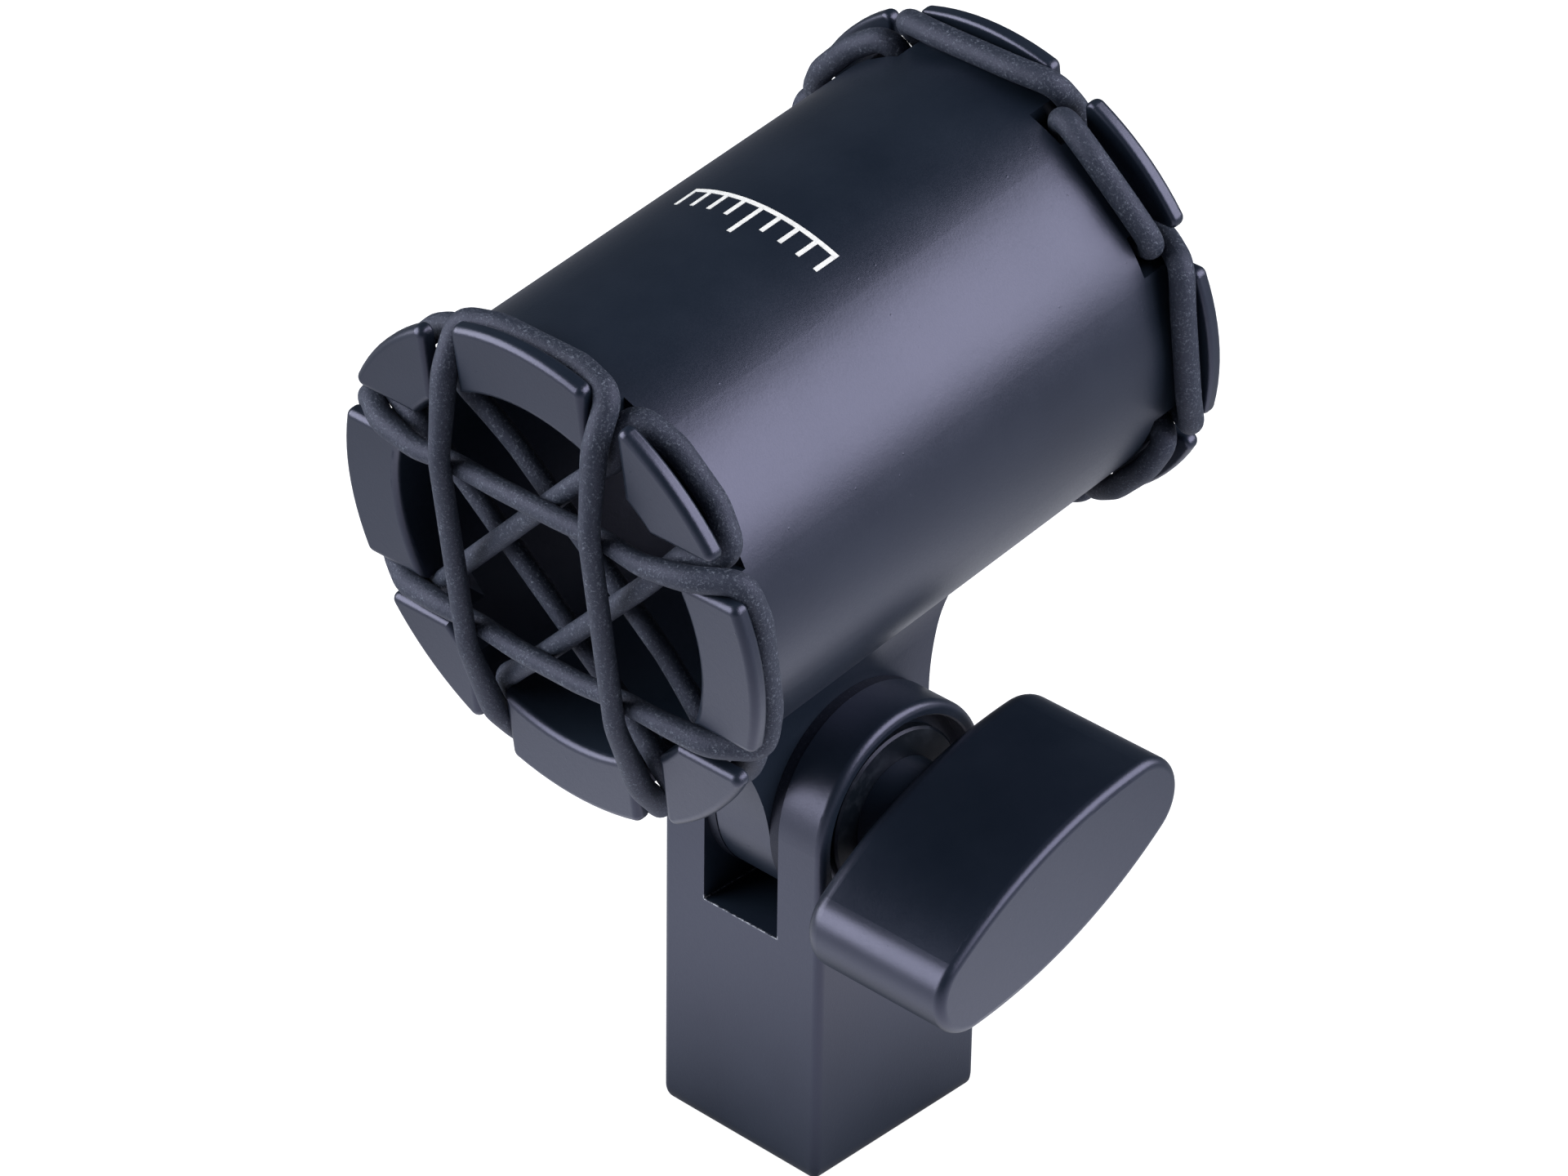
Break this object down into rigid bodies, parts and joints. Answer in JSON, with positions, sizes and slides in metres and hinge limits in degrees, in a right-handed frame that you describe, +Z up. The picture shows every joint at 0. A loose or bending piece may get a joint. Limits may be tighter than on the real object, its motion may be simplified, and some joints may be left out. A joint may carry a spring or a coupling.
{
  "type": "microphone shock mount",
  "caption": "Elastic suspension mount for a slim condenser microphone: slotted sleeve with webs of rubber rings, tilting on a square clevis stem with a thumb knob.",
  "frame": {"origin": "middle of the stem's bottom face, where the stand thread's mouth is", "axes": "+Z up the stem, +X along the tilt hinge towards the thumb knob, -Y towards the front of the sleeve"},
  "size_m": [0.0596, 0.076, 0.1186],
  "materials": {
    "sleeve_paint": "satin black paint with a fine grain",
    "stem_paint": "satin black paint with a fine grain",
    "knob_paint": "satin black paint, a little glossier than the stem",
    "cord_rubber": "matt black rubber cord with a dusty grain",
    "dark_steel": "black oxide",
    "brass": "machined",
    "bush_bronze": "sintered",
    "friction_fibre": "black nylon"
  },
  "bodies": {
    "stem": {"stem_block": "stem_paint", "thread_insert": "brass", "pivot_bolt": "dark_steel", "friction_disc_left": "friction_fibre", "friction_disc_right": "friction_fibre"},
    "cradle": {"sleeve_body": "sleeve_paint", "tilt_lug": "sleeve_paint", "lug_screws": "dark_steel", "pivot_bush": "bush_bronze", "front_band_upright": "cord_rubber", "front_band_level": "cord_rubber", "front_band_rising": "cord_rubber", "front_band_falling": "cord_rubber", "rear_band_upright": "cord_rubber", "rear_band_level": "cord_rubber", "rear_band_rising": "cord_rubber", "rear_band_falling": "cord_rubber"},
    "washer": {"thrust_washer": "dark_steel"},
    "knob": {"thumb_knob": "knob_paint", "knob_insert": "brass"}
  },
  "joints": [
    {"name": "tilt", "type": "hinge", "parent": "stem", "child": "cradle", "pos_m": [0, 0, 0.0411], "axis": [1, 0, 0], "range_deg": [-88.5, 71.5]},
    {"name": "knob_travel", "type": "slide", "parent": "stem", "child": "washer", "axis": [1, 0, 0], "range_m": [0, 0.002]},
    {"name": "knob_turn", "type": "hinge", "parent": "washer", "child": "knob", "pos_m": [0, 0, 0.0411], "axis": [1, 0, 0], "range_deg": [0, 720]}
  ],
  "couplings": [
    {"joint": "knob_turn", "follows": "knob_travel", "rad_per_m": 6283.2}
  ]
}
